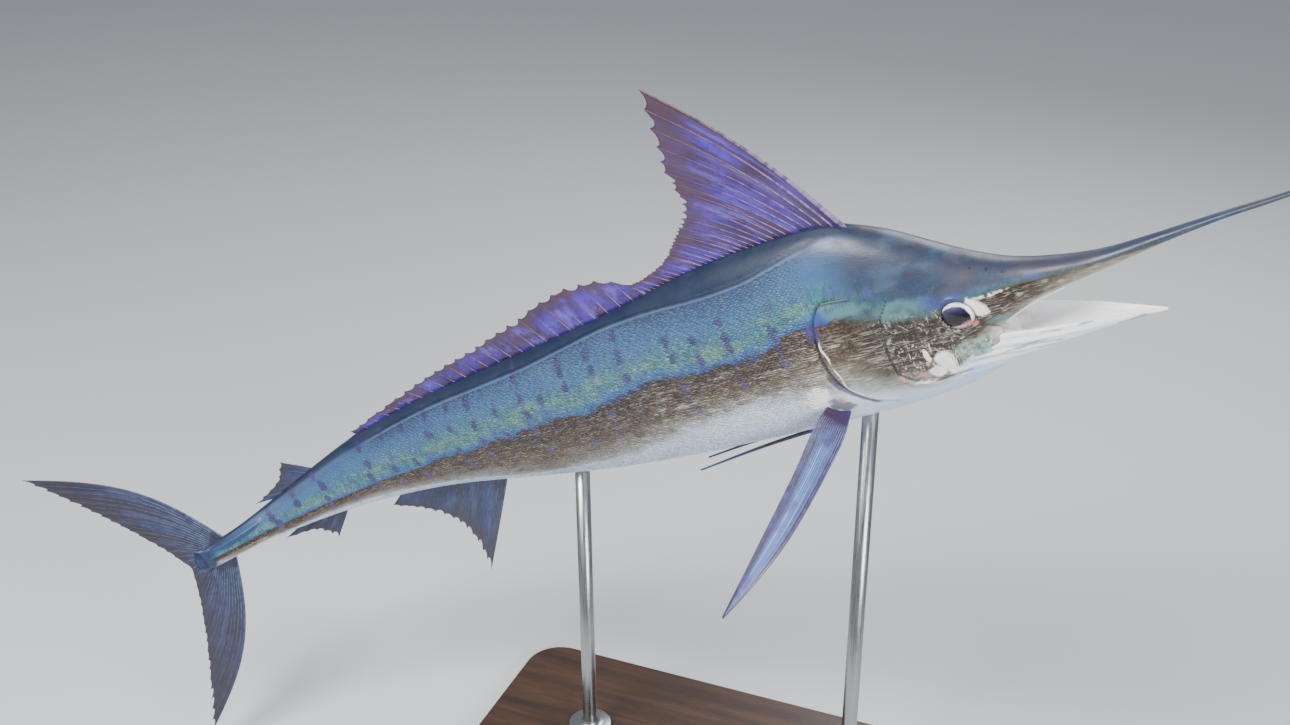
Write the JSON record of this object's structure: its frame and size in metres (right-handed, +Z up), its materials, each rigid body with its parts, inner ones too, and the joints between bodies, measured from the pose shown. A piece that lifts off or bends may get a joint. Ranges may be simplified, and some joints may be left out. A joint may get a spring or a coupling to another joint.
{
  "type": "striped marlin model on a display stand",
  "caption": "Life-size striped marlin lunging nose up with open mouth, raised pointed dorsal fin and swept tail, held over a flat base by rods.",
  "frame": {"origin": "centre of the stand base's flat underside, where it rests on the floor", "axes": "+Z up; the fish heads along +X with its bill pitched up 22 degrees, its left side is towards +Y"},
  "size_m": [2.4078, 0.7609, 1.5303],
  "materials": {
    "head_skin": "wet satin skin, slate above and brown on the cheek",
    "bill": "fine-grained horn, satin",
    "lower_jaw": "wet satin skin, white with grey folds",
    "eye": "wet and glossy",
    "gill_cover": "wet satin skin over bone",
    "body_skin": "wet satin skin with violet bars",
    "dorsal_fin": "wet satin membrane with rays",
    "small_fin": "wet satin membrane with rays",
    "tail_fin": "wet satin membrane with rays",
    "pectoral_fin": "wet satin membrane with rays",
    "stand_wood": "dark stain, satin",
    "stand_steel": "brushed"
  },
  "bodies": {
    "root": {"head": "head_skin", "bill": "bill", "lower_jaw": "lower_jaw", "eye_right": "eye", "eye_left": "eye", "gill_cover_right": "gill_cover", "gill_cover_left": "gill_cover", "chest": "body_skin", "flank": "body_skin", "tail_stock": "body_skin", "dorsal_fin_lobe": "dorsal_fin", "dorsal_fin_length": "dorsal_fin", "second_dorsal_fin": "small_fin", "first_anal_fin": "small_fin", "second_anal_fin": "small_fin", "tail_fin_upper_lobe": "tail_fin", "tail_fin_lower_lobe": "tail_fin", "pectoral_fin_right": "pectoral_fin", "pectoral_fin_left": "pectoral_fin", "pelvic_fin_right": "small_fin", "pelvic_fin_left": "small_fin", "stand_base": "stand_wood", "stand_rod_front": "stand_steel", "stand_rod_rear": "stand_steel"}
  },
  "joints": []
}
